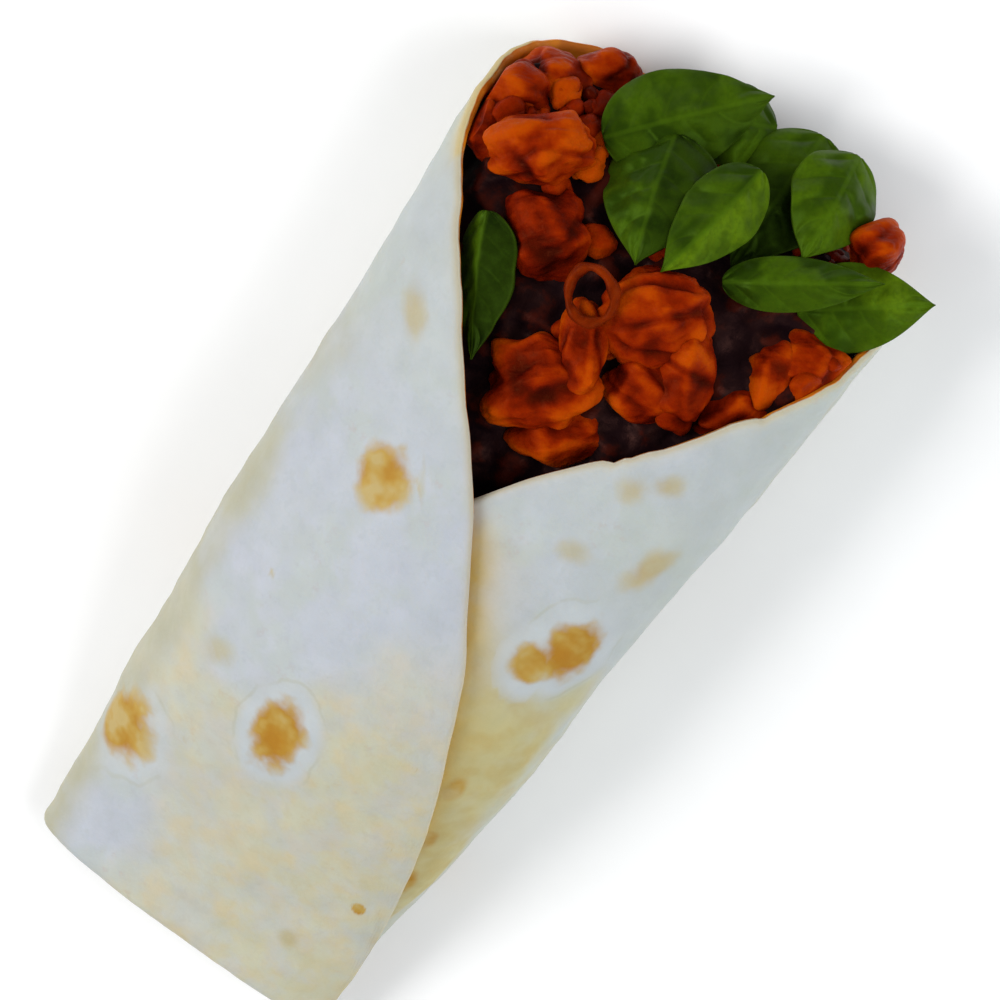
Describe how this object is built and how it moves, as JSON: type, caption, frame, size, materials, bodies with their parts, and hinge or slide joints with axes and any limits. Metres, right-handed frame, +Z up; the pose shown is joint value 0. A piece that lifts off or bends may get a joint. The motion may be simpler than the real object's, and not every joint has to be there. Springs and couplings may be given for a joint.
{
  "type": "sandwich wrap",
  "caption": "Folded flour tortilla wrap lying on its back, its open mouth showing sauced chicken pieces and basil leaves.",
  "frame": {"origin": "on the flat resting patch of the wrap's back, near the middle of its length", "axes": "+Y from the folded end to the open mouth, +Z up from the surface it lies on, +X towards the under flap's side"},
  "size_m": [0.0864, 0.1969, 0.0444],
  "materials": {
    "tortilla": "soft matt flour tortilla with toasted spots",
    "basil": "satin leaf with raised veins",
    "chicken": "wet tomato sauce over chicken",
    "pepper": "wet cooked pepper",
    "bed": "dark sauced filling"
  },
  "bodies": {
    "root": {"tortilla": "tortilla", "filling_bed": "bed", "pepper_curl": "pepper", "basil_leaf_1": "basil", "basil_leaf_2": "basil", "basil_leaf_3": "basil", "basil_leaf_4": "basil", "basil_leaf_5": "basil", "basil_leaf_6": "basil", "basil_leaf_7": "basil", "basil_leaf_8": "basil", "basil_leaf_9": "basil", "chicken_piece_1": "chicken", "chicken_piece_2": "chicken", "chicken_piece_3": "chicken", "chicken_piece_4": "chicken", "chicken_piece_5": "chicken", "chicken_piece_6": "chicken", "chicken_piece_7": "chicken", "chicken_piece_8": "chicken", "chicken_piece_9": "chicken", "chicken_piece_10": "chicken", "chicken_piece_11": "chicken", "chicken_piece_12": "chicken", "chicken_piece_13": "chicken", "chicken_piece_14": "chicken", "chicken_piece_15": "chicken", "chicken_piece_16": "chicken", "chicken_piece_17": "chicken"}
  },
  "joints": []
}
